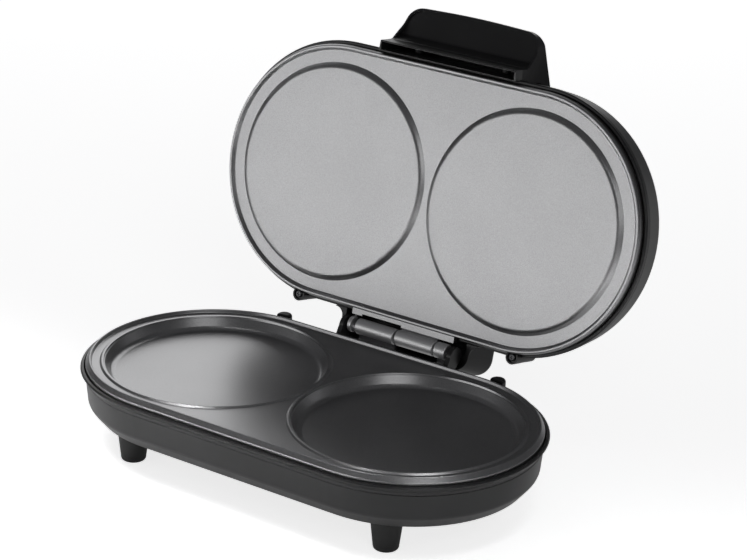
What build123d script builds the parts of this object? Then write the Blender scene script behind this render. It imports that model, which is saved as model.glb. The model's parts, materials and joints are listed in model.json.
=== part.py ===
from build123d import *
import os
from math import cos, radians, sin

# Double pancake maker with a hinged lid, standing open.
# Millimetres, +Z up. The origin is on the table under the middle of the open machine.
# The hinge is at the rear (+Y), and the handle is on the lid's free edge.

# Shared outline: every shell and plate is a racetrack, two round ends on one straight stretch
half_spacing = 66.0          # from the middle of the machine to the middle of a dish
base_y = -39.5               # the base stands forward of the origin, because the open lid leans back

# Heights of the base half above the table
rim_height = 52.0            # crest of the lower plate's rim
channel_drop = 2.0           # from the rim's crest down to the flat between rim and dishes
crest_drop = 1.0             # from the rim's crest down to the crest of a dish
dish_drop = 8.0              # from the rim's crest down to a dish's floor
lower_casting = 3.4          # thickness of the lower plate
upper_casting = 2.0          # thickness of the upper plate, lighter so the open lid doesn't tip the base
tub_bottom = 20.4            # underside of the tub
floor_inside = 22.8          # inside of the tub's floor
parting_height = 42.0        # joint between tub and frame
flange_top = 48.0            # top of the frame's flange

# Radii of the racetracks
rim_crest_radius = 72.2
rim_foot_radius = 74.3
dish_foot_radius = 66.3
dish_floor_radius = 59.5
flange_radius = 77.2
tub_top_radius = 74.2
tub_bevel_radius = 72.9
tub_foot_radius = 66.8

# Hinge
hinge_back = 85.2            # from the middle of the base back to the pin
hinge_height = 52.7
hinge_rise = 2.8             # from the upper plate's face to the pin, seen square to the plate
lean = 13.6                  # how far the open lid leans back past upright, degrees
barrel_radius = 4.65
barrel_rise = 1.4            # the barrels are thicker above the pin than below it
barrel_edge = 0.6
pin_radius = 2.0
pin_clearance = 0.05
ear_radius = 5.8

# The hinge's row of pieces from left to right: where each begins and ends along the pin
ear_left = (-38.0, -35.2)
knuckle_left = (-33.6, -31.0)
barrel_left = (-27.8, -1.4)
barrel_right = (-0.2, 26.0)
knuckle_right = (27.2, 34.9)
ear_right = (37.2, 40.3)

# Lid half, measured square to the upper plate's face: positive is out of the lid
disc_height = 2.2
disc_foot_radius = 64.2
pocket_depth = 1.8           # hollows behind each disc, inside and outside the heater's track
lip_height = 2.0
lid_edge = -3.0              # front edge of the lid frame
lid_parting = -6.5           # joint between lid frame and lid cover
lid_top = -26.0              # outer face of the lid cover
cover_wall = 2.0
lid_radius = 77.0

# Rear buffers on the base and screw bosses on the lid stand over each other
boss_x = 75.0
buffer_back = 75.7
boss_back = 76.4

# Feet: the rear pair stands on lugs behind the tub, because the open lid leans back over it
front_foot_x = 87.0
front_foot_y = -48.2
rear_foot_x = 34.0
rear_foot_y = 79.5
foot_top_radius = 9.3
foot_base_radius = 6.9
lug_radius = 9.6
lug_height = 35.0

# Fixings of the plates, from the middle of the machine and from a dish's middle
fixing_y = 60.0
fixing_radius = 62.2
fixing_angle = 45.0
fixing_hole = 1.6
screw_radius = 1.5
play = 0.05                  # small gap between pieces that are screwed together

# Heating elements: a loop of tube under both dishes, its clamps and its reflector tray
tube_radius = 3.2
loop_radius = 42.0
loop_gap = 14.0              # from the middle to each end of the tube
loop_end = 50.0
clamp_x = 60.0
clamp_screw_y = 34.0
clamp_width = 10.0
strap = 0.8
reflector_drop = 9.6        # from a plate's underside to its reflector

# Cord gland in the rear wall
gland_x = 52.0
gland_height = 33.2
gland_hole = 5.0
gland_bore = 3.3

# Planes of the two halves: x to the right, y to the rear on the base and to the handle on the lid
base = Plane(origin=(0, base_y, 0), x_dir=(1, 0, 0), z_dir=(0, 0, 1))
lid_up = Vector(0, sin(radians(lean)), cos(radians(lean)))
lid_out = Vector(0, -cos(radians(lean)), sin(radians(lean)))
hinge_point = Vector(0, base_y + hinge_back, hinge_height)
lid = Plane(
    origin=hinge_point + lid_up * hinge_back - lid_out * hinge_rise,
    x_dir=(1, 0, 0),
    z_dir=lid_out,
)

os.makedirs("parts", exist_ok=True)


def across(place, x=0.0):
    """A plane across a half at x: its own x runs along the half's y, its own y runs along z."""
    return Plane(origin=place.origin + place.x_dir * x, x_dir=place.y_dir, z_dir=place.x_dir)


def racetrack(outline, place, rounding=0.0):
    """Carry an outline of (radius, height) corners round both ends and both straight sides."""
    radii = rounding if isinstance(rounding, list) else [rounding] * len(outline)
    end = across(place, half_spacing)
    with BuildPart() as ring:
        with BuildSketch(across(place)):
            with BuildLine():
                FilletPolyline(*outline, radius=radii, close=True)
            make_face()
        extrude(amount=half_spacing)
        with BuildSketch(end):
            with BuildLine():
                FilletPolyline(*outline, radius=radii, close=True)
            make_face()
        revolve(axis=Axis(end.origin, place.z_dir), revolution_arc=-90)
        mirror(about=across(place))
        mirror(about=Plane(origin=place.origin, x_dir=place.x_dir, z_dir=place.y_dir))
    return ring.part


def turned(outline, place, x, y, rounding=0.0):
    """Turn an outline of (radius, height) corners about an axis square to the half at (x, y)."""
    radii = rounding if isinstance(rounding, list) else [rounding] * len(outline)
    centre = place.origin + place.x_dir * x + place.y_dir * y
    section = Plane(origin=centre, x_dir=place.x_dir, z_dir=-place.y_dir)
    with BuildPart() as body:
        with BuildSketch(section):
            with BuildLine():
                FilletPolyline(*outline, radius=radii, close=True)
            make_face()
        revolve(axis=Axis(centre, place.z_dir))
    return body.part


def rod(place, spots, radius, low, high):
    """Round rods square to a half, from height low to height high, one at each spot."""
    with BuildPart() as rods:
        with BuildSketch(place.offset(low)):
            with Locations(*spots):
                Circle(radius)
        extrude(amount=high - low)
    return rods.part


def bar(place, x_from, x_to, outline, rounding=0.0):
    """A bar that runs along x with the given (y, height) outline."""
    radii = rounding if isinstance(rounding, list) else [rounding] * len(outline)
    with BuildPart() as body:
        with BuildSketch(across(place, x_from)):
            with BuildLine():
                FilletPolyline(*outline, radius=radii, close=True)
            make_face()
        extrude(amount=x_to - x_from)
    return body.part


def on_pin(x_from, x_to, radius):
    """A round bar on the hinge's axis."""
    with BuildPart() as body:
        with BuildSketch(Plane(origin=(x_from, hinge_point.Y, hinge_point.Z), z_dir=(1, 0, 0))):
            Circle(radius)
        extrude(amount=x_to - x_from)
    return body.part


def barrel(span, rise):
    """A cast barrel round the pin with rounded ends; rise moves its middle off the pin."""
    centre = Vector(span[0], hinge_point.Y, hinge_point.Z) + rise
    with BuildPart() as body:
        with BuildSketch(Plane(origin=centre, z_dir=(1, 0, 0))):
            Circle(barrel_radius)
        extrude(amount=span[1] - span[0])
        fillet(body.edges().filter_by(GeomType.CIRCLE), barrel_edge)
    return body.part


def screw(place, x, y, head_low, head_height, head_radius, tip, direction=1):
    """A pan-head screw with a cross recess; its shank runs from the head towards the tip."""
    seat = head_low + head_height * direction
    with BuildPart() as body:
        add(turned([(0, head_low), (head_radius, head_low), (head_radius, seat), (0, seat)],
                   place, x, y, [0, head_height * 0.5, 0, 0]))
        add(rod(place, [(x, y)], screw_radius, min(seat, tip), max(seat, tip)))
        with BuildSketch(place.offset(head_low)):
            with Locations((x, y)):
                Rectangle(head_radius * 1.1, head_radius * 0.3)
                Rectangle(head_radius * 0.3, head_radius * 1.1)
        extrude(amount=head_height * 0.55 * direction, mode=Mode.SUBTRACT)
    return body.part


def finish(body, name):
    """Label a finished piece and write its file."""
    body.label = name
    export_step(body, f"parts/{name}.step")
    print(name, len(body.solids()), "solids", round(body.volume), "mm3")


def corner_spots(radius, angle):
    """Four spots round the two dishes, at the same angle off the length of the machine."""
    along = half_spacing + radius * cos(radians(angle))
    aside = radius * sin(radians(angle))
    return [(sx * along, sy * aside) for sx in (-1, 1) for sy in (-1, 1)]


fixings = [(0, fixing_y), (0, -fixing_y)] + corner_spots(fixing_radius, fixing_angle)
dish_centres = [(-half_spacing, 0), (half_spacing, 0)]
clamp_spots = [(sx * clamp_x, sy * clamp_screw_y) for sx in (-1, 1) for sy in (-1, 1)]

bore_radius = pin_radius + pin_clearance


# Lower cooking plate: rim, channel, two dishes, fixing bosses and its hinge barrels
dish_under = rim_height - dish_drop - lower_casting
channel_top = rim_height - channel_drop
channel_under = channel_top - lower_casting
skirt_low = 46.3
boss_low = 38.0
with BuildPart() as lower_plate:
    add(racetrack(
        [(0, channel_under), (0, channel_top), (70.8, channel_top), (71.3, rim_height),
         (rim_crest_radius, rim_height), (rim_foot_radius, rim_height - 2.6),
         (rim_foot_radius, skirt_low), (72.2, skirt_low), (72.2, channel_under)],
        base, [0, 0, 0.8, 0.45, 0.7, 0.8, 0.3, 0, 0]))
    add(rod(base, fixings, 4.6, boss_low, channel_under + 0.5))
    for x, y in dish_centres:
        add(turned(
            [(0, dish_under), (60.4, dish_under), (64.2, 46.0), (dish_foot_radius, channel_under),
             (dish_foot_radius, channel_top), (65.3, rim_height - crest_drop),
             (64.0, rim_height - crest_drop), (62.5, channel_under), (0, channel_under)],
            base, x, y, [0, 2.0, 0, 0, 0, 0.5, 0, 0, 0]))
    for x, y in dish_centres:
        add(turned(
            [(0, rim_height - dish_drop), (dish_floor_radius, rim_height - dish_drop),
             (63.9, rim_height - crest_drop), (63.9, rim_height + 3), (0, rim_height + 3)],
            base, x, y, [0, 4.0, 0, 0, 0]), mode=Mode.SUBTRACT)
    add(rod(base, dish_centres, 4.2, dish_under - reflector_drop, dish_under + 0.5))
    for span in (barrel_left, knuckle_right):
        add(barrel(span, Vector(0, 0, barrel_rise)))
        add(bar(base, span[0] + barrel_edge, span[1] - barrel_edge,
                [(72.5, skirt_low + 0.4), (72.5, 47.9), (80.0, 47.8), (84.8, 46.0), (84.8, 50.5),
                 (87.4, 50.5), (87.4, 45.6), (85.6, 43.9), (81.0, 44.6), (78.2, skirt_low + 0.4)],
                [0, 0, 2.0, 0.6, 0, 0, 1.0, 1.0, 2.0, 1.0]))
    add(on_pin(knuckle_left[0], knuckle_right[1] + 1, bore_radius), mode=Mode.SUBTRACT)
    add(rod(base, fixings, fixing_hole, boss_low - 1, 42.8), mode=Mode.SUBTRACT)
    add(rod(base, dish_centres, fixing_hole, dish_under - reflector_drop - 1, dish_under - 1),
        mode=Mode.SUBTRACT)
    add(rod(base, clamp_spots, fixing_hole, dish_under - 1, dish_under + 1.5), mode=Mode.SUBTRACT)
finish(lower_plate.part, "lower_plate")


# Base tub: floor, leaning wall with a bevelled foot, pillars for the plate's screws
pillar_top = boss_low - play
foot_spots = [(-front_foot_x, front_foot_y), (front_foot_x, front_foot_y),
              (-rear_foot_x, rear_foot_y), (rear_foot_x, rear_foot_y)]
with BuildPart() as base_tub:
    add(racetrack(
        [(0, tub_bottom), (tub_foot_radius, tub_bottom), (tub_bevel_radius, 27.8),
         (tub_top_radius, parting_height), (71.9, parting_height), (70.7, 28.6),
         (65.9, floor_inside), (0, floor_inside)],
        base, [0, 1.2, 4.0, 0.3, 0, 3.0, 1.0, 0]))
    add(rod(base, fixings, 5.6, floor_inside - 0.5, pillar_top))
    for x, y in foot_spots[2:]:
        add(turned([(0, tub_bottom), (lug_radius, tub_bottom), (lug_radius - 0.8, lug_height),
                    (0, lug_height)], base, x, y, [0, 1.0, 3.0, 0]))
        add(bar(base, x - 6.5, x + 6.5, [(62.0, tub_bottom), (y, tub_bottom), (y, lug_height),
                                         (70.0, lug_height + 4.0)]))
    for side in (-1, 1):
        spot = (side * boss_x, buffer_back)
        add(rod(base, [spot], 4.4, 31.0, parting_height))
        with BuildSketch(base.offset(31.0)):
            with Locations((side * boss_x, buffer_back - 4.0)):
                Rectangle(5.0, 7.0)
        extrude(amount=parting_height - 31.0)
        add(rod(base, [spot], 2.2, 30.0, parting_height + 1), mode=Mode.SUBTRACT)
        add(rod(base, [spot], 3.4, 30.0, 34.0), mode=Mode.SUBTRACT)
    add(racetrack(
        [(0, floor_inside), (65.9, floor_inside), (70.7, 28.6), (71.9, parting_height),
         (71.9, parting_height + 2), (0, parting_height + 2)],
        base, [0, 1.0, 3.0, 0, 0, 0]) - rod(base, fixings, 5.6, floor_inside - 1, pillar_top),
        mode=Mode.SUBTRACT)
    add(rod(base, fixings, 3.9, tub_bottom - 1, 33.5), mode=Mode.SUBTRACT)
    add(rod(base, fixings, 2.0, tub_bottom, pillar_top + 1), mode=Mode.SUBTRACT)
    add(rod(base, foot_spots, 4.3, tub_bottom - 1, floor_inside + 1), mode=Mode.SUBTRACT)
    add(rod(base, foot_spots[2:], 5.8, floor_inside, floor_inside + 6), mode=Mode.SUBTRACT)
    with BuildSketch(base.offset(tub_bottom - 1)):
        for side in (-1, 1):
            with Locations((side * half_spacing, 0)):
                with GridLocations(9.0, 1.0, 5, 1):
                    SlotOverall(30.0, 3.2, rotation=90)
    extrude(amount=floor_inside - tub_bottom + 2, mode=Mode.SUBTRACT)
    with BuildSketch(Plane(origin=(gland_x, base_y + 66, gland_height), z_dir=(0, 1, 0))):
        Circle(gland_hole)
    extrude(amount=12, mode=Mode.SUBTRACT)
finish(base_tub.part, "base_tub")


# Base frame: flange ring with an undercut, two rear buffers and two hinge ears, the right one blind
ear_skin = 1.0
frame_rounding = [0, 0.4, 0.4, 2.5, 0.2, 0, 0, 0, 0, 0, 0]
buffer_top = 52.3
with BuildPart() as base_frame:
    add(racetrack(
        [(75.2, flange_top), (76.7, flange_top - 0.2), (flange_radius, 46.8), (74.3, 43.4),
         (tub_top_radius, parting_height + play), (71.5, parting_height + play),
         (71.2, 38.5), (69.6, 38.5), (69.6, 43.4), (72.3, 43.4), (75.2, 46.4)],
        base, frame_rounding))
    for side in (-1, 1):
        spot = (side * boss_x, buffer_back)
        add(turned([(0, parting_height + play), (4.6, parting_height + play), (4.6, buffer_top),
                    (0, buffer_top)], base, *spot, [0, 0, 1.6, 0]))
        add(rod(base, [spot], fixing_hole, parting_height - 1, 46.2), mode=Mode.SUBTRACT)
    add(racetrack([(0, 44.6), (73.4, 44.6), (75.1, 46.4), (75.1, 60.0), (0, 60.0)], base),
        mode=Mode.SUBTRACT)
    with BuildSketch(base.offset(45.6)):
        with Locations(((ear_left[1] + ear_right[0]) / 2, 77.0)):
            Rectangle(ear_right[0] - ear_left[1], 8.0)
    extrude(amount=5.0, mode=Mode.SUBTRACT)
    for x_from, x_to in (ear_left, ear_right):
        add(on_pin(x_from, x_to, ear_radius))
        add(bar(base, x_from, x_to,
                [(75.6, 43.8), (75.6, 47.5), (81.0, 56.5), (86.0, 53.0), (88.9, 48.5), (82.5, 43.6)],
                [0, 2.0, 0, 0, 0, 2.0]))
    add(on_pin(ear_left[0] - 1, ear_right[1] - ear_skin, bore_radius), mode=Mode.SUBTRACT)
finish(base_frame.part, "base_frame")


# Feet: tapered rubber cones, each pushed through the tub's floor behind a barb
foot_outline = [(0, 0), (foot_base_radius, 0), (foot_top_radius, tub_bottom - 0.1),
                (4.1, tub_bottom - 0.1), (4.1, floor_inside + 0.15), (5.3, floor_inside + 0.3),
                (2.6, floor_inside + 4.6), (0, floor_inside + 4.6)]
for name, (x, y) in zip(("front_left", "front_right", "rear_left", "rear_right"), foot_spots):
    with BuildPart() as foot:
        add(turned(foot_outline, base, x, y, [0, 1.8, 0.5, 0, 0, 0, 0, 0]))
    finish(foot.part, f"foot_{name}")


# Heating element, its terminals, clamps, reflector and screws, the same behind both plates
def element(place, under, rear):
    """Tubular loop under both dishes; its two ends turn to the rear beside the middle."""
    depth = under - tube_radius - 0.15
    level = place.offset(depth)
    with BuildPart() as tube:
        with BuildLine(level) as route:
            FilletPolyline(
                (-loop_gap, rear * loop_end), (-loop_gap, rear * loop_radius),
                (-half_spacing, rear * loop_radius), radius=6.0)
            ThreePointArc((-half_spacing, rear * loop_radius), (-half_spacing - loop_radius, 0),
                          (-half_spacing, -rear * loop_radius))
            Line((-half_spacing, -rear * loop_radius), (half_spacing, -rear * loop_radius))
            ThreePointArc((half_spacing, -rear * loop_radius), (half_spacing + loop_radius, 0),
                          (half_spacing, rear * loop_radius))
            FilletPolyline(
                (half_spacing, rear * loop_radius), (loop_gap, rear * loop_radius),
                (loop_gap, rear * loop_end), radius=6.0)
        start = place.origin + place.x_dir * -loop_gap + place.y_dir * rear * loop_end
        with BuildSketch(Plane(origin=start + place.z_dir * depth, z_dir=place.y_dir * -rear)):
            Circle(tube_radius)
        sweep(path=route.wires()[0])
    return tube.part


def terminals(place, under, rear):
    """Ceramic bushes with contact pins on the two ends of an element."""
    depth = under - tube_radius - 0.15
    with BuildPart() as pair:
        for side in (-1, 1):
            start = place.origin + place.x_dir * side * loop_gap + place.z_dir * depth
            start = start + place.y_dir * rear * (loop_end + play)
            with BuildSketch(Plane(origin=start, z_dir=place.y_dir * rear)):
                Circle(2.6)
            extrude(amount=1.8)
            with BuildSketch(Plane(origin=start, z_dir=place.y_dir * rear)):
                Circle(0.9)
            extrude(amount=2.9)
    return pair.part


def clamps(place, under):
    """Sheet straps that hold an element up against its plate."""
    centre_height = under - tube_radius - 0.15
    inner = tube_radius + 0.1
    with BuildPart() as group:
        for x, y in clamp_spots:
            sy = 1 if y > 0 else -1
            with BuildSketch(across(place, x - clamp_width / 2)):
                with Locations((sy * loop_radius, centre_height)):
                    Circle(inner + strap)
                with Locations((sy * (loop_radius - 7.0), under - 0.1 - strap / 2)):
                    Rectangle(9.0, strap)
                with Locations((sy * loop_radius, centre_height)):
                    Circle(inner, mode=Mode.SUBTRACT)
                with Locations((sy * loop_radius, centre_height + 5.6)):
                    Rectangle(20.0, 5.0, mode=Mode.SUBTRACT)
                with Locations((sy * (loop_radius + 5.0), centre_height + 3.0)):
                    Rectangle(10.0, 6.0, mode=Mode.SUBTRACT)
            extrude(amount=clamp_width)
        add(rod(place, clamp_spots, fixing_hole, under - 3, under + 1), mode=Mode.SUBTRACT)
    return group.part


def reflector(place, under):
    """Shallow sheet tray that throws the heat back at its plate."""
    top = under - reflector_drop - play
    with BuildPart() as tray:
        add(racetrack(
            [(0, top - 0.6), (52.6, top - 0.6), (53.8, top + 4.7), (53.2, top + 4.7),
             (52.1, top), (0, top)], place))
        add(rod(place, dish_centres, 1.8, top - 2, top + 2), mode=Mode.SUBTRACT)
        with BuildSketch(place.offset(top - 2)):
            with GridLocations(60.0, 40.0, 4, 2):
                SlotOverall(16.0, 3.0)
        extrude(amount=4, mode=Mode.SUBTRACT)
    return tray.part


def heater(place, under, rear, name):
    """Write every piece of one half's heater."""
    finish(element(place, under, rear), f"{name}_element")
    finish(terminals(place, under, rear), f"{name}_element_terminals")
    finish(clamps(place, under), f"{name}_element_clamps")
    finish(reflector(place, under), f"{name}_reflector")
    with BuildPart() as clamp_screws:
        for x, y in clamp_spots:
            add(screw(place, x, y, under - 0.15 - strap - 1.6, 1.6, 2.6, under + 1.4))
    finish(clamp_screws.part, f"{name}_clamp_screws")
    seat = under - reflector_drop - 0.6 - 2 * play
    with BuildPart() as tray_screws:
        for x, y in dish_centres:
            add(screw(place, x, y, seat - 1.8, 1.8, 3.0, under - 2.0))
    finish(tray_screws.part, f"{name}_reflector_screws")


heater(base, dish_under, 1, "lower")
heater(lid, -upper_casting, -1, "upper")


# Upper cooking plate: flat face with a raised lip, two raised discs, fixing bosses and barrels
lip_outer = 74.7
upper_boss_low = -8.4
strip_half = 35.6
lip_back = -3.4
strip_face = 0.55
strip_back = -3.2
pocket_roof = -upper_casting + pocket_depth
with BuildPart() as upper_plate:
    add(racetrack(
        [(0, -upper_casting), (0, 0), (71.2, 0), (72.7, lip_height), (74.0, lip_height),
         (lip_outer, 0.7), (lip_outer, lip_back), (72.7, lip_back), (72.7, -upper_casting)],
        lid, [0, 0, 0.6, 0.35, 0.6, 0.6, 0.4, 0.3, 0]))
    for x, y in dish_centres:
        add(turned([(0, -1.0), (disc_foot_radius, -1.0), (disc_foot_radius, 0), (61.7, disc_height),
                    (0, disc_height)], lid, x, y, [0, 0, 0, 3.5, 0]))
        for inner, outer in ((6.0, 28.0), (49.0, 60.0)):
            add(turned([(inner, -upper_casting - 1), (outer, -upper_casting - 1), (outer, pocket_roof),
                        (inner, pocket_roof)], lid, x, y), mode=Mode.SUBTRACT)
    add(rod(lid, fixings, 4.6, upper_boss_low, pocket_roof))
    add(rod(lid, dish_centres, 4.2, -upper_casting - reflector_drop, pocket_roof))
    with BuildSketch(lid.offset(strip_back)):
        with Locations((0, -75.9)):
            Rectangle(2 * strip_half, 4.8)
        with Locations(((barrel_left[0] + barrel_left[1]) / 2, -78.0)):
            Rectangle(barrel_left[1] - barrel_left[0] + 1.2, 1.8, mode=Mode.SUBTRACT)
    extrude(amount=strip_face - strip_back)
    for span in (knuckle_left, barrel_right):
        add(barrel(span, lid_up * barrel_rise))
        add(bar(lid, span[0] + barrel_edge, span[1] - barrel_edge,
                [(-76.8, 0.5), (-78.2, 0.5), (-79.6, 1.9), (-83.5, 1.9), (-83.5, -1.6), (-80.5, -3.1),
                 (-76.8, -3.1)]))
    add(on_pin(knuckle_left[0] - 1, knuckle_right[1], bore_radius), mode=Mode.SUBTRACT)
    add(rod(lid, fixings, fixing_hole, upper_boss_low - 1, -1.2), mode=Mode.SUBTRACT)
    add(rod(lid, dish_centres, fixing_hole, -upper_casting - reflector_drop - 1, -1.0),
        mode=Mode.SUBTRACT)
    add(rod(lid, clamp_spots, fixing_hole, -upper_casting - 1, -upper_casting + 1.5),
        mode=Mode.SUBTRACT)
finish(upper_plate.part, "upper_plate")


# Lid frame: ring round the upper plate with six lugs behind it and two screw bosses
lug_top = upper_boss_low - play
lug_thickness = 2.0
boss_face = 0.8
boss_radius = 4.0
with BuildPart() as lid_frame:
    add(racetrack(
        [(75.5, lid_edge), (76.4, lid_edge), (lid_radius, lid_edge - 0.6), (76.85, lid_parting + play),
         (74.1, lid_parting + play), (73.4, -10.5), (71.6, -10.5), (71.6, -4.6), (75.5, -4.6)],
        lid, [0, 0.3, 0.3, 0.2, 0, 0, 0, 0, 0]))
    with BuildSketch(lid.offset(lug_top - lug_thickness)):
        with Locations((0, 63.5), (0, -63.5)):
            Rectangle(12.0, 18.0)
        for x, y in corner_spots(fixing_radius + 3.0, fixing_angle):
            with Locations(Location((x, y, 0), (0, 0, 45 if x * y > 0 else -45))):
                Rectangle(16.0, 12.0)
    extrude(amount=lug_thickness)
    for side in (-1, 1):
        spot = (side * boss_x, -boss_back)
        add(rod(lid, [spot], boss_radius, lid_parting + play, boss_face))
        add(rod(lid, [spot], 3.1, -0.6, boss_face + 1), mode=Mode.SUBTRACT)
        add(rod(lid, [spot], 1.8, lid_parting - 1, 0), mode=Mode.SUBTRACT)
    add(racetrack([(0, -4.6), (75.2, -4.6), (75.2, 3.0), (0, 3.0)], lid), mode=Mode.SUBTRACT)
    with BuildSketch(lid.offset(-4.5)):
        with Locations((0, -76.5)):
            Rectangle(2 * strip_half + 3.0, 6.0)
    extrude(amount=3.0, mode=Mode.SUBTRACT)
    add(rod(lid, fixings, 2.0, lug_top - lug_thickness - 1, lug_top + 1), mode=Mode.SUBTRACT)
finish(lid_frame.part, "lid_frame")


# Lid cover: shell with a hollow hump over the hinge, two screw columns and two lamp holes
lid_side = [(76.85, lid_parting), (74.0, lid_top)]
cover_outer = [(0, lid_parting), *lid_side, (0, lid_top)]
cover_rounding = [0, 0.2, 6.5, 0]
cover_inner = [(0, lid_parting + 1), (74.5, lid_parting + 1), (71.7, lid_top + cover_wall),
               (0, lid_top + cover_wall)]
hump_wall = 2.3
hump_front = -77.2
column_low = -20.0
gusset_low = -20.0           # gussets round off the corners between the lid's edge and the hump
gusset_top = -3.7
lamp_x = 11.0
lamp_y = 46.0
lens_radius = 3.6
handle_screw_x = 30.0
handle_screw_depth = -14.5


def hump(inset, far, front):
    """Tapered block over the hinge with round corners, drawn in by a wall's thickness for its hollow."""
    with BuildPart() as block:
        for height, half, back, corner in ((far, 50.2, -99.2, 12.0), (-3.6, 44.6, -94.6, 10.0)):
            side = half - inset
            bend = corner - 2.2 * inset
            with BuildSketch(lid.offset(height)):
                with BuildLine():
                    FilletPolyline((-side, front), (-side, back + inset), (side, back + inset),
                                   (side, front), radius=[0, bend, bend, 0], close=True)
                make_face()
        loft(ruled=True)
    return block.part


with BuildPart() as lid_cover:
    add(racetrack(cover_outer, lid, cover_rounding))
    with BuildPart(mode=Mode.PRIVATE) as hump_outer:
        add(hump(0, lid_top, -60.0))
        far_face = hump_outer.faces().sort_by(Axis(lid.origin, lid.z_dir))[0]
        fillet(far_face.edges(), 3.0)
    add(hump_outer.part)
    with BuildSketch(lid.offset(gusset_low)):
        with BuildLine():
            FilletPolyline((44.0, -75.2), (50.2, -75.2), (50.2, -77.7), (44.9, -77.7), (44.9, -83.2),
                           (44.0, -83.2), radius=[0, 0, 0, 5.0, 0, 0], close=True)
        make_face()
        mirror(about=across(lid))
    extrude(amount=gusset_top - gusset_low)
    for side in (-1, 1):
        spot = (side * boss_x, -boss_back)
        add(rod(lid, [spot], boss_radius - 0.1, column_low, lid_parting))
        with BuildSketch(lid.offset(column_low)):
            with Locations((side * boss_x, -boss_back + 3.0)):
                Rectangle(6.0, 6.0)
        extrude(amount=lid_parting - column_low)
    add(racetrack(cover_inner, lid, [0, 0, 3.5, 0]), mode=Mode.SUBTRACT)
    add(hump(hump_wall, lid_top + cover_wall, hump_front), mode=Mode.SUBTRACT)
    add(racetrack([(0, lid_parting), (77.2, lid_parting), (77.2, 0), (0, 0)], lid), mode=Mode.SUBTRACT)
    for side in (-1, 1):
        add(rod(lid, [(side * boss_x, -boss_back)], fixing_hole, -13.5, 0), mode=Mode.SUBTRACT)
        add(rod(lid, [(side * lamp_x, lamp_y)], lens_radius + 0.1, lid_top - 1, lid_top + 5),
            mode=Mode.SUBTRACT)
        wall_spot = lid.origin + lid.x_dir * side * handle_screw_x + lid.y_dir * 70.0
        with BuildSketch(Plane(origin=wall_spot + lid.z_dir * handle_screw_depth, z_dir=lid.y_dir)):
            Circle(2.0)
        extrude(amount=10, mode=Mode.SUBTRACT)
    lead_spot = lid.origin + lid.x_dir * -20.0 + lid.y_dir * -70.0 + lid.z_dir * -16.0
    with BuildSketch(Plane(origin=lead_spot, z_dir=-lid.y_dir)):
        Circle(3.5)
    extrude(amount=10, mode=Mode.SUBTRACT)
finish(lid_cover.part, "lid_cover")


# Handle: visor with a finger scoop below it and an open box along the lid's edge
handle_back = 62.0
handle_top = -27.6
handle_tip = 104.3
handle_near = 3.4
straight_end = -4.6          # the sides run straight down to here, then flare out to the visor
tip_bow = 1.55               # how far the tip falls back at its corners
lip = 1.3
wall_side = Plane(origin=lid.origin + lid.z_dir * handle_screw_depth, x_dir=lid.x_dir, z_dir=lid.y_dir)
handle_spots = [(-handle_screw_x, 0), (handle_screw_x, 0)]


def plan(inset, half, sweep):
    """Outline of the handle seen square to the lid; half is its half width at the lid's edge."""
    tip = handle_tip - inset
    corner = tip - tip_bow
    tip_half = half - inset - sweep * (corner - 76.0)
    back_half = half - inset + sweep * (76.0 - handle_back)
    FilletPolyline((-back_half, handle_back), (-tip_half, corner), (0, tip), (tip_half, corner),
                   (back_half, handle_back), radius=[0, 10.0, 600.0, 10.0, 0], close=True)


def visor(inset):
    """The handle's full block: straight sides near the plate, then flaring sides."""
    with BuildPart() as block:
        with BuildSketch(lid.offset(straight_end)):
            with BuildLine():
                plan(inset, 46.8, 0.12)
            make_face()
        extrude(amount=handle_near - straight_end)
        for height, half, sweep in ((handle_top - 0.4, 52.4, 0.347), (straight_end, 46.8, 0.12)):
            with BuildSketch(lid.offset(height)):
                with BuildLine():
                    plan(inset, half, sweep)
                make_face()
        loft(ruled=True)
    return block.part


def slab(half_width, outline, rounding=0.0):
    """A bar centred on the lid's middle with the given outline."""
    return bar(lid, -half_width, half_width, outline, rounding)


with BuildPart() as handle:
    add(visor(0))
    add(slab(62.0,
             [(76.1, 2.4), (82.3, 3.2), (83.2, -9.5), (92.0, -18.0), (106.0, -22.0), (104.2, -24.0),
              (97.0, handle_top + 1.2), (handle_back, handle_top), (handle_back, -20.0), (76.1, -20.0)],
             [0.5, 0.6, 3.0, 8.0, 0, 0, 8.0, 1.0, 0, 0]), mode=Mode.INTERSECT)
    add(visor(lip) & slab(60.0, [(83.0, -8.0), (86.3, -18.0), (106.0, -23.0), (106.0, -8.0)],
                          [0, 1.5, 0, 0]), mode=Mode.SUBTRACT)
    add(slab(45.4, [(76.75, 5.0), (81.4, 5.0), (82.0, -9.5), (84.4, -17.0), (85.0, -23.0),
                    (77.9, -23.0), (77.9, -4.4), (76.75, -0.6)]), mode=Mode.SUBTRACT)
    add(rod(wall_side, handle_spots, 2.8, 77.0, 83.8))
    add(racetrack([(0, lid_edge + 0.2), (77.1, lid_edge + 0.2), (76.95, lid_parting),
                   (74.1, lid_top - play), (0, lid_top - play)], lid, [0, 0.2, 0.1, 6.5, 0]),
        mode=Mode.SUBTRACT)
    add(rod(wall_side, handle_spots, fixing_hole, 74.0, 83.0), mode=Mode.SUBTRACT)
finish(handle.part, "handle")


# Hinge pin with its head at the left ear; its far end sits in the blind right ear
pin_head = 0.8
with BuildPart() as hinge_pin:
    add(on_pin(ear_left[0] - 0.1, ear_right[1] - ear_skin - 0.3, pin_radius))
    add(on_pin(ear_left[0] - 0.1 - pin_head, ear_left[0] - 0.1, 3.0))
    fillet(hinge_pin.edges().sort_by(Axis.X)[0], 0.5)
finish(hinge_pin.part, "hinge_pin")


def group(screws, name):
    """Write a set of like screws as one piece list."""
    with BuildPart() as fasteners:
        for one in screws:
            add(one)
    finish(fasteners.part, name)


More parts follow.
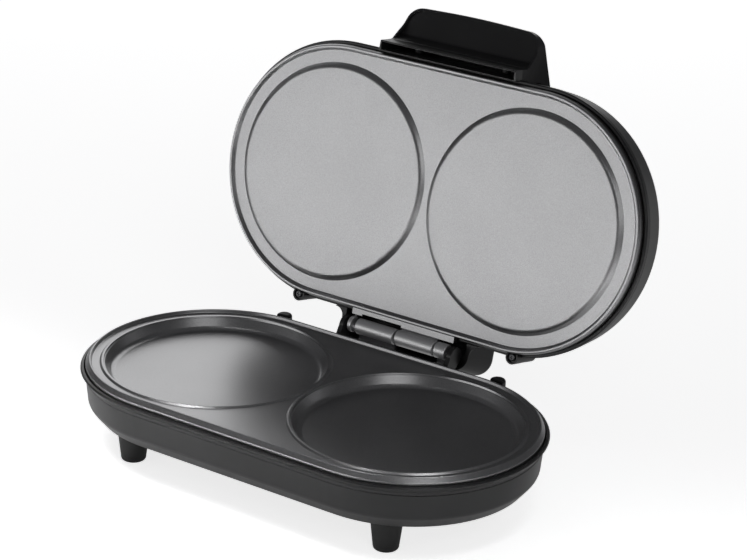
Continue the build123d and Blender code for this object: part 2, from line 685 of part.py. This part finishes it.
group([screw(base, x, y, 31.05, 2.4, 3.4, 42.0) for x, y in fixings], "lower_plate_screws")
group([screw(base, side * boss_x, buffer_back, 31.9, 2.05, 3.2, 45.8) for side in (-1, 1)],
      "base_frame_screws")
group([screw(lid, side * boss_x, -boss_back, 0.9, 1.45, 2.1, -12.5, -1) for side in (-1, 1)],
      "lid_frame_screws")
group([screw(lid, x, y, -12.5, 2.0, 3.4, -2.2) for x, y in fixings], "upper_plate_screws")
group([screw(wall_side, x, y, 70.6, 1.9, 3.2, 82.0) for x, y in handle_spots], "handle_screws")


# Thermostat under the lower plate between the two ends of the element
thermostat_y = 46.0
with BuildPart() as thermostat:
    add(turned([(0, 38.5), (6.8, 38.5), (6.8, 43.3), (8.0, 43.3), (8.0, channel_under - 0.1),
                (0, channel_under - 0.1)], base, 0, thermostat_y, [0, 0.5, 0, 0.5, 0.3, 0]))
    with BuildSketch(base.offset(33.0)):
        with Locations((-3.4, thermostat_y), (3.4, thermostat_y)):
            Rectangle(0.8, 4.0)
    extrude(amount=6.0)
finish(thermostat.part, "thermostat")


# Terminal block on the floor of the tub, with its two clamping screws
block_x = 30.0
block_y = 58.0
block_low = floor_inside + 0.1
block_height = 7.0
pole_spots = [(block_x - 6.0, block_y), (block_x + 6.0, block_y)]
with BuildPart() as terminal_block:
    with BuildSketch(base.offset(block_low)):
        with Locations((block_x, block_y)):
            RectangleRounded(26.0, 11.6, 1.0)
    extrude(amount=block_height)
    add(rod(base, pole_spots, 2.6, block_low + 3.5, block_low + block_height + 1), mode=Mode.SUBTRACT)
    for x, y in pole_spots:
        with BuildSketch(Plane(origin=(x, base_y + y - 7, block_low + 2.0), z_dir=(0, 1, 0))):
            Circle(1.3)
        extrude(amount=14, mode=Mode.SUBTRACT)
finish(terminal_block.part, "terminal_block")
group([rod(base, [(x, y)], 2.5, block_low + 3.6, block_low + 6.2) for x, y in pole_spots],
      "terminal_screws")


# Cord gland in the rear wall, open for the cord, with its nut inside
gland_seat = tub_top_radius + 0.1
with BuildPart() as cord_gland:
    gland_plane = Plane(origin=(gland_x, base_y, gland_height), x_dir=(1, 0, 0), z_dir=(0, 1, 0))
    add(turned([(gland_bore, 64.6), (gland_hole - 0.1, 64.6), (gland_hole - 0.1, gland_seat),
                (6.6, gland_seat), (6.2, gland_seat + 2.4), (gland_bore, gland_seat + 2.4)],
               gland_plane, 0, 0, [0, 0.3, 0, 0.3, 0.8, 0.6]))
finish(cord_gland.part, "cord_gland")

with BuildPart() as gland_nut:
    with BuildSketch(gland_plane.offset(66.0)):
        RegularPolygon(radius=5.45, side_count=6, major_radius=False, rotation=30)
        Circle(gland_hole - 0.05, mode=Mode.SUBTRACT)
    extrude(amount=3.4)
finish(gland_nut.part, "gland_nut")


lead_radius = 1.1


def lead(place, *route, bend=3.0):
    """A round insulated wire along straight runs with rounded bends, given in a half's own places."""
    points = [place.from_local_coords(Vector(*point)) for point in route]
    with BuildPart() as wire:
        with BuildLine() as path:
            FilletPolyline(*points, radius=bend)
        with BuildSketch(Plane(origin=path.line @ 0, z_dir=path.line % 0)):
            Circle(lead_radius)
        sweep(path=path.line)
    return wire.part


lower_depth = dish_under - tube_radius - 0.15
upper_depth = -upper_casting - tube_radius - 0.15
lead_start = loop_end + play + 3.0
block_top = block_low + block_height + 0.1
group([lead(base, (loop_gap, lead_start, lower_depth), (loop_gap, 58.0, lower_depth),
            (24.0, 58.0, lower_depth), (24.0, 58.0, block_top)),
       lead(base, (-loop_gap, lead_start, lower_depth), (-loop_gap, 58.0, lower_depth),
            (-loop_gap, 58.0, 26.5), (-8.0, 50.0, 26.5), (7.0, 50.0, 26.5), (12.0, 56.0, 26.5),
            (block_x - 13.15, 56.0, 26.5), bend=2.0)],
      "base_leads")
group([lead(lid, (-loop_gap, -lead_start, upper_depth), (-loop_gap, -57.0, upper_depth),
            (-21.5, -60.0, -16.0), (-21.5, -77.0, -16.0), bend=2.5),
       lead(lid, (loop_gap, -lead_start, upper_depth), (loop_gap, -57.5, upper_depth),
            (loop_gap, -57.5, -18.0), (-18.5, -63.0, -18.0), (-18.5, -68.0, -16.0),
            (-18.5, -77.0, -16.0), bend=2.0)],
      "lid_leads")


# Thermal fuse under the upper plate, held by a strap
fuse_y = -46.0
fuse_radius = 2.0
fuse_depth = -upper_casting - fuse_radius - 0.15
with BuildPart() as thermal_fuse:
    fuse_origin = lid.origin + lid.y_dir * fuse_y + lid.z_dir * fuse_depth + lid.x_dir * -6.0
    with BuildSketch(Plane(origin=fuse_origin, z_dir=lid.x_dir)):
        Circle(fuse_radius)
    extrude(amount=12.0)
finish(thermal_fuse.part, "thermal_fuse")

with BuildPart() as fuse_strap:
    with BuildSketch(across(lid, -2.5)):
        with Locations((fuse_y, fuse_depth)):
            Circle(fuse_radius + 0.7)
        with Locations((fuse_y, -upper_casting - 0.45)):
            Rectangle(13.0, 0.7)
        with Locations((fuse_y, fuse_depth)):
            Circle(fuse_radius + 0.1, mode=Mode.SUBTRACT)
        with Locations((fuse_y, -upper_casting + 0.4)):
            Rectangle(14.0, 1.0, mode=Mode.SUBTRACT)
        with Locations((fuse_y, -upper_casting - 1.0)):
            Rectangle(2 * fuse_radius + 0.2, 2.0, mode=Mode.SUBTRACT)
    extrude(amount=5.0)
finish(fuse_strap.part, "fuse_strap")


# Two indicator lenses in the cover, their neon lamps and the carrier of the lamps
lens_under = lid_top + cover_wall + 0.05
for name, side in (("power_lens", -1), ("ready_lens", 1)):
    with BuildPart() as lens:
        add(turned([(0, lid_top - 0.7), (lens_radius, lid_top - 0.2), (lens_radius, lens_under),
                    (4.8, lens_under), (4.8, lens_under + 0.9), (0, lens_under + 0.9)],
                   lid, side * lamp_x, lamp_y, [0, 0.6, 0, 0, 0, 0]))
    finish(lens.part, name)

lamp_spots = [(-lamp_x, lamp_y), (lamp_x, lamp_y)]
group([rod(lid, [spot], 2.2, lens_under + 1.1, -16.4) for spot in lamp_spots], "neon_lamps")
with BuildPart() as lamp_holder:
    with BuildSketch(lid.offset(-16.3)):
        with Locations((0, lamp_y)):
            RectangleRounded(46.0, 9.0, 2.0)
    extrude(amount=1.6)
    add(rod(lid, [(-20.0, lamp_y), (20.0, lamp_y)], 2.5, lid_top + cover_wall + 0.1, -16.0))
    add(rod(lid, lamp_spots, 3.2, -18.0, -16.0))
    add(rod(lid, lamp_spots, 2.3, -19.0, -16.3), mode=Mode.SUBTRACT)
finish(lamp_holder.part, "lamp_holder")
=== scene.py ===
import json
from math import cos, pi, radians, sin

import bpy
from mathutils import Matrix, Vector

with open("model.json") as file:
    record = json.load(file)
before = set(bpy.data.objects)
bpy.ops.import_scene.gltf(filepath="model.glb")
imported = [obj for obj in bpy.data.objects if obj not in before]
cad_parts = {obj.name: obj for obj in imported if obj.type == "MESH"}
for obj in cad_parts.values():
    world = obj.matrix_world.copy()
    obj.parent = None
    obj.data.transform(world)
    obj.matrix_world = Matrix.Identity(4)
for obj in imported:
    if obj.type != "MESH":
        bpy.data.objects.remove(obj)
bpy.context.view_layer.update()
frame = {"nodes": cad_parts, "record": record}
nodes = frame["nodes"]
scene = bpy.context.scene

# Camera, fitted to the photograph: metres and degrees in the part's own frame, the sensor in millimetres
photo_width = 747
focal_pixels = 2647.6
sensor_width = 36.0
camera_azimuth = 34.506
camera_elevation = 21.604
camera_roll = 1.978
camera_distance = 1.50486
camera_target = Vector((-0.00471, 0.02557, 0.09494))
nearest_seen = 0.05
farthest_seen = 50

# Floor: half its side, its grey, and the white added where the camera sees it and where pieces mirror it
floor_half = 6.0
floor_grey = (0.9, 0.9, 0.9, 1)
floor_white = 0.76
floor_mirrored = 0.22

# Colour of the dim light that comes evenly from all round
surroundings = (0.08, 0.08, 0.083, 1)

# Lamps that face the part's middle: name, place, width, height, radiance
part_middle = (0, 0.02, 0.09)
part_lamps = (
    ("panel", (-1.05, -1.65, 0.33), 1.9, 0.6, 1.45),
    ("backdrop", (-1.15, 1.65, 0.92), 1.9, 1.3, 1.18),
    ("side", (1.2, -1.05, 0.95), 0.9, 1.0, 1.1),
)

# Square lamps that shine straight down on the floor in front: name, x, y, side, radiance
floor_lamps = (
    ("floor_left", -0.22, -0.45, 0.45, 3.2),
    ("floor_right", 0.4, -0.24, 0.3, 1.9),
)
floor_lamp_height = 0.55
floor_lamp_spread = 60

# A lighter metal colour is painted on the hinge barrels as a painted highlight: their middle line, how far
# the painted highlight reaches, the width over which it fades into the coat, its colour and its extra
# roughness
barrel_axis = (0, 0.0458, 0.0541)
barrel_highlight_radius = 0.0051
barrel_highlight_fade = 0.0004
barrel_highlight_color = (0.86, 0.86, 0.865, 1)
barrel_highlight_roughness = 0.18

# The levels between which most of a noise lies
noise_low = 0.3
noise_high = 0.7


# Node helpers

class Shader:
    """A material under construction: its node tree and its Principled shader."""

    def __init__(self, name):
        self.material = bpy.data.materials.new(name)
        self.material.use_nodes = True
        self.tree = self.material.node_tree
        self.principled = self.tree.nodes["Principled BSDF"]
        self.place = self.node("ShaderNodeTexCoord").outputs["Object"]

    def node(self, kind, **values):
        made = self.tree.nodes.new(kind)
        for key, value in values.items():
            setattr(made, key, value)
        return made

    def link(self, source, target):
        self.tree.links.new(source, target)

    def feed(self, name, source):
        """Link a varying value or colour to one of the shader's own sockets."""
        self.link(source, self.principled.inputs[name])

    def set(self, **values):
        """Set plain numbers on the shader's own sockets: coat_weight becomes Coat Weight."""
        for key, value in values.items():
            self.principled.inputs[key.replace("_", " ").title()].default_value = value

    def noise(self, scale, detail=2.0, roughness=0.5, finer=(1, 1, 1)):
        """Noise over the object's own coordinates: scale is in features per metre, times finer by axis."""
        mapping = self.node("ShaderNodeMapping")
        mapping.inputs["Scale"].default_value = finer
        self.link(self.place, mapping.inputs["Vector"])
        texture = self.node("ShaderNodeTexNoise")
        texture.inputs["Scale"].default_value = scale
        texture.inputs["Detail"].default_value = detail
        texture.inputs["Roughness"].default_value = roughness
        self.link(mapping.outputs["Vector"], texture.inputs["Vector"])
        return texture.outputs["Fac"]

    def ramp(self, value, low_color, high_color, low=noise_low, high=noise_high):
        """Colours between two levels of a value."""
        ramp = self.node("ShaderNodeValToRGB")
        ramp.color_ramp.elements[0].position = low
        ramp.color_ramp.elements[0].color = (*low_color, 1)
        ramp.color_ramp.elements[1].position = high
        ramp.color_ramp.elements[1].color = (*high_color, 1)
        self.link(value, ramp.inputs["Fac"])
        return ramp.outputs["Color"]

    def spread(self, value, to_low, to_high, low=noise_low, high=noise_high):
        """Map the range between two levels of a value onto another range."""
        spread = self.node("ShaderNodeMapRange")
        spread.inputs["From Min"].default_value = low
        spread.inputs["From Max"].default_value = high
        spread.inputs["To Min"].default_value = to_low
        spread.inputs["To Max"].default_value = to_high
        self.link(value, spread.inputs["Value"])
        return spread.outputs["Result"]

    def blend(self, first, second, factor, mode="MIX"):
        """Mix two colours."""
        mix = self.node("ShaderNodeMix", data_type="RGBA", blend_type=mode)
        # A colour mix has its factor at input 0, its colours at inputs 6 and 7, and its result at output 2
        for source, socket in ((factor, mix.inputs[0]), (first, mix.inputs[6]), (second, mix.inputs[7])):
            if isinstance(source, bpy.types.NodeSocket):
                self.link(source, socket)
            else:
                socket.default_value = source
        return mix.outputs[2]

    def near_axis(self, point, radius, fade):
        """1 around the line through a point along x, fading to 0 over the last stretch up to the radius."""
        without_x = self.node("ShaderNodeVectorMath", operation="MULTIPLY")
        without_x.inputs[1].default_value = (0, 1, 1)
        self.link(self.place, without_x.inputs[0])
        gap = self.node("ShaderNodeVectorMath", operation="DISTANCE")
        gap.inputs[1].default_value = point
        self.link(without_x.outputs["Vector"], gap.inputs[0])
        return self.spread(gap.outputs["Value"], 1.0, 0.0, low=radius - fade, high=radius)

    def bump(self, heights, distance):
        """Bump the surface by one or more (height, strength) pairs; distance is in metres."""
        normal = None
        for height, strength in heights:
            bump = self.node("ShaderNodeBump")
            bump.inputs["Strength"].default_value = strength
            bump.inputs["Distance"].default_value = distance
            self.link(height, bump.inputs["Height"])
            if normal is not None:
                self.link(normal, bump.inputs["Normal"])
            normal = bump.outputs["Normal"]
        self.feed("Normal", normal)


# Materials

def moulded_plastic():
    """Near-black plastic from a lightly spark-eroded mould: fine grain, satin sheen."""
    made = Shader("black_plastic")
    grain = made.noise(scale=4200, detail=3.0, roughness=0.6)
    cloud = made.noise(scale=38, detail=3.0)
    made.feed("Base Color", made.ramp(cloud, (0.017, 0.017, 0.0175), (0.023, 0.023, 0.024)))
    made.feed("Roughness", made.spread(grain, 0.30, 0.38))
    made.bump([(grain, 0.18)], distance=0.00006)
    return made.material


def cast_coating():
    """Grey non-stick coat with metal flake on die-cast aluminium; a lighter metal colour is painted on the
    hinge barrels as their highlight.
    """
    made = Shader("cast_plate")
    speckle = made.noise(scale=1500, detail=2.0, roughness=0.6)
    grain = made.noise(scale=3800, detail=2.0, roughness=0.5)
    cloud = made.noise(scale=26, detail=3.0)
    flake = made.ramp(speckle, (0.36, 0.36, 0.365), (0.44, 0.44, 0.447), high=0.72)
    tone = made.ramp(cloud, (0.93, 0.93, 0.93), (1.0, 1.0, 1.0), low=0.25, high=0.75)
    coat = made.blend(flake, tone, 1.0, "MULTIPLY")
    # Painted highlight: a lighter metal colour around the barrel axis stands in for the barrels' shine
    barrel_highlight = made.near_axis(barrel_axis, barrel_highlight_radius, barrel_highlight_fade)
    made.feed("Base Color", made.blend(coat, barrel_highlight_color, barrel_highlight))

    # Roughness is the coat's own, with extra roughness where the barrels' painted highlight is
    rough = made.node("ShaderNodeMath", operation="MULTIPLY_ADD")
    mask, extra, coat_roughness = rough.inputs
    made.link(barrel_highlight, mask)
    extra.default_value = barrel_highlight_roughness
    made.link(made.spread(grain, 0.27, 0.34), coat_roughness)
    made.feed("Roughness", rough.outputs["Value"])
    made.set(metallic=0.95)
    made.bump([(grain, 0.22), (speckle, 0.12)], distance=0.00005)
    return made.material


def foot_rubber():
    """Matt black rubber with a dusty bloom."""
    made = Shader("foot_rubber")
    grain = made.noise(scale=2600, detail=3.0, roughness=0.6)
    bloom = made.noise(scale=60, detail=4.0)
    made.feed("Base Color", made.ramp(bloom, (0.010, 0.010, 0.010), (0.016, 0.016, 0.016)))
    made.feed("Roughness", made.spread(grain, 0.5, 0.62))
    made.bump([(grain, 0.25)], distance=0.00006)
    return made.material


def metal(name, dark, light, roughness, finer=(1, 1, 1)):
    """A metal with fine marks, which the numbers in finer pack closer along x, y or z."""
    made = Shader(name)
    marks = made.noise(scale=1800, detail=3.0, roughness=0.6, finer=finer)
    cloud = made.noise(scale=70, detail=3.0)
    made.feed("Base Color", made.ramp(cloud, dark, light))
    made.feed("Roughness", made.spread(marks, roughness - 0.06, roughness + 0.06))
    made.set(metallic=1.0)
    made.bump([(marks, 0.1)], distance=0.00004)
    return made.material


def plain(name, dark, light, roughness, **values):
    """A moulded or glazed piece of the electrical parts, or a lens; values go to the shader's sockets."""
    made = Shader(name)
    cloud = made.noise(scale=300, detail=3.0)
    made.feed("Base Color", made.ramp(cloud, dark, light))
    made.feed("Roughness", made.spread(cloud, roughness - 0.04, roughness + 0.04))
    made.set(**values)
    made.bump([(cloud, 0.1)], distance=0.00005)
    return made.material


def lead_sleeve():
    """Braided heat-proof sleeve: fine slanting bands."""
    made = Shader("lead_insulation")
    wave = made.node("ShaderNodeTexWave", wave_type="BANDS", bands_direction="DIAGONAL")
    wave.inputs["Scale"].default_value = 420
    wave.inputs["Distortion"].default_value = 1.5
    made.link(made.place, wave.inputs["Vector"])
    bands = wave.outputs["Fac"]
    made.feed("Base Color", made.ramp(bands, (0.55, 0.53, 0.48), (0.75, 0.73, 0.68), low=0.2, high=0.8))
    made.set(roughness=0.8)
    made.bump([(bands, 0.5)], distance=0.0002)
    return made.material


# One material for each slot that the record names
materials = {
    "black_plastic": moulded_plastic(),
    "cast_plate": cast_coating(),
    "foot_rubber": foot_rubber(),
    "zinc_steel": metal("zinc_steel", (0.42, 0.42, 0.43), (0.52, 0.52, 0.53), 0.32),
    "heater_tube": metal("heater_tube", (0.13, 0.13, 0.12), (0.22, 0.21, 0.19), 0.45),
    "reflector_sheet": metal("reflector_sheet", (0.68, 0.68, 0.68), (0.76, 0.76, 0.76), 0.22,
                             finer=(1, 12, 1)),
    "bare_aluminium": metal("bare_aluminium", (0.6, 0.6, 0.6), (0.7, 0.7, 0.7), 0.3),
    "ceramic": plain("ceramic", (0.75, 0.73, 0.68), (0.82, 0.8, 0.75), 0.25, coat_weight=0.5),
    "inner_plastic": plain("inner_plastic", (0.62, 0.6, 0.55), (0.7, 0.68, 0.63), 0.45),
    "lead_insulation": lead_sleeve(),
    "red_lens": plain("red_lens", (0.42, 0.015, 0.01), (0.5, 0.02, 0.015), 0.12, coat_weight=0.4),
    "green_lens": plain("green_lens", (0.02, 0.26, 0.05), (0.03, 0.33, 0.07), 0.12, coat_weight=0.4),
    "lamp_glass": plain("lamp_glass", (0.8, 0.62, 0.5), (0.9, 0.75, 0.62), 0.08,
                        transmission_weight=0.8),
}
for piece in frame["record"]["subparts"]:
    mesh = nodes[piece["node"]].data
    mesh.materials.clear()
    mesh.materials.append(materials[piece["material_slot"]])

# The screws of the two frames are blackened, unlike the other zinc-plated ones
black_screw = metal("black_screw", (0.10, 0.10, 0.104), (0.15, 0.15, 0.154), 0.30)
for name in ("lid_frame_screws", "base_frame_screws"):
    nodes[name].data.materials[0] = black_screw


# Camera

def aim_camera():
    """Stand the camera where the photograph was taken from."""
    azimuth = radians(camera_azimuth)
    elevation = radians(camera_elevation)
    roll = radians(camera_roll)
    back = Vector((sin(azimuth) * cos(elevation), -cos(azimuth) * cos(elevation), sin(elevation)))
    level = Vector((cos(azimuth), sin(azimuth), 0))
    upright = back.cross(level)
    right = cos(roll) * level + sin(roll) * upright
    up = -sin(roll) * level + cos(roll) * upright
    data = bpy.data.cameras.new("camera")
    data.sensor_width = sensor_width
    data.lens = focal_pixels * sensor_width / photo_width
    data.clip_start = nearest_seen
    data.clip_end = farthest_seen
    camera = bpy.data.objects.new("camera", data)
    scene.collection.objects.link(camera)
    matrix = Matrix((right, up, back)).transposed().to_4x4()
    matrix.translation = camera_target + back * camera_distance
    camera.matrix_world = matrix
    scene.camera = camera


# Studio: pale floor, dim surroundings, soft lamps

def floor_material():
    """Pale grey, with white added where the camera, a mirror or clear glass sees it."""
    material = bpy.data.materials.new("floor")
    material.use_nodes = True
    tree = material.node_tree
    tree.nodes.clear()
    output = tree.nodes.new("ShaderNodeOutputMaterial")
    diffuse = tree.nodes.new("ShaderNodeBsdfDiffuse")
    diffuse.inputs["Color"].default_value = floor_grey
    white = tree.nodes.new("ShaderNodeEmission")
    path = tree.nodes.new("ShaderNodeLightPath")

    # Each step adds one kind of ray's share of white to the sum so far
    total = None
    for ray, strength in (("Is Camera Ray", floor_white), ("Is Glossy Ray", floor_mirrored),
                          ("Is Transmission Ray", floor_mirrored)):
        step = tree.nodes.new("ShaderNodeMath")
        step.operation = "MULTIPLY_ADD"
        is_ray, share, so_far = step.inputs
        tree.links.new(path.outputs[ray], is_ray)
        share.default_value = strength
        so_far.default_value = 0.0
        if total is not None:
            tree.links.new(total, so_far)
        total = step.outputs["Value"]
    tree.links.new(total, white.inputs["Strength"])

    both = tree.nodes.new("ShaderNodeAddShader")
    tree.links.new(diffuse.outputs["BSDF"], both.inputs[0])
    tree.links.new(white.outputs["Emission"], both.inputs[1])
    tree.links.new(both.outputs["Shader"], output.inputs["Surface"])
    return material


def build_floor():
    """A large square floor around the part."""
    half = floor_half
    corners = [(-half, -half, 0), (half, -half, 0), (half, half, 0), (-half, half, 0)]
    mesh = bpy.data.meshes.new("floor")
    mesh.from_pydata(corners, [], [(0, 1, 2, 3)])
    mesh.materials.append(floor_material())
    floor = bpy.data.objects.new("floor", mesh)
    scene.collection.objects.link(floor)


def softbox(name, place, target, width, height, radiance):
    """A rectangular lamp that faces a point; its power is its radiance times its area times pi."""
    data = bpy.data.lights.new(name, "AREA")
    data.shape = "RECTANGLE"
    data.size = width
    data.size_y = height
    data.energy = radiance * width * height * pi
    lamp = bpy.data.objects.new(name, data)
    scene.collection.objects.link(lamp)
    lamp.visible_camera = False
    lamp.location = place
    lamp.rotation_mode = "QUATERNION"
    lamp.rotation_quaternion = (Vector(target) - Vector(place)).to_track_quat("-Z", "Y")
    return lamp


def light_studio():
    """Dim surroundings, a panel at the front left, softboxes behind and at the right, two floor lamps."""
    world = bpy.data.worlds.new("studio")
    world.use_nodes = True
    world.node_tree.nodes["Background"].inputs["Color"].default_value = surroundings
    scene.world = world
    for name, place, width, height, radiance in part_lamps:
        softbox(name, place, part_middle, width, height, radiance)
    for name, x, y, side, radiance in floor_lamps:
        down = softbox(name, (x, y, floor_lamp_height), (x, y, 0), side, side, radiance)
        down.data.spread = radians(floor_lamp_spread)


aim_camera()
build_floor()
light_studio()
scene.view_settings.view_transform = "Standard"
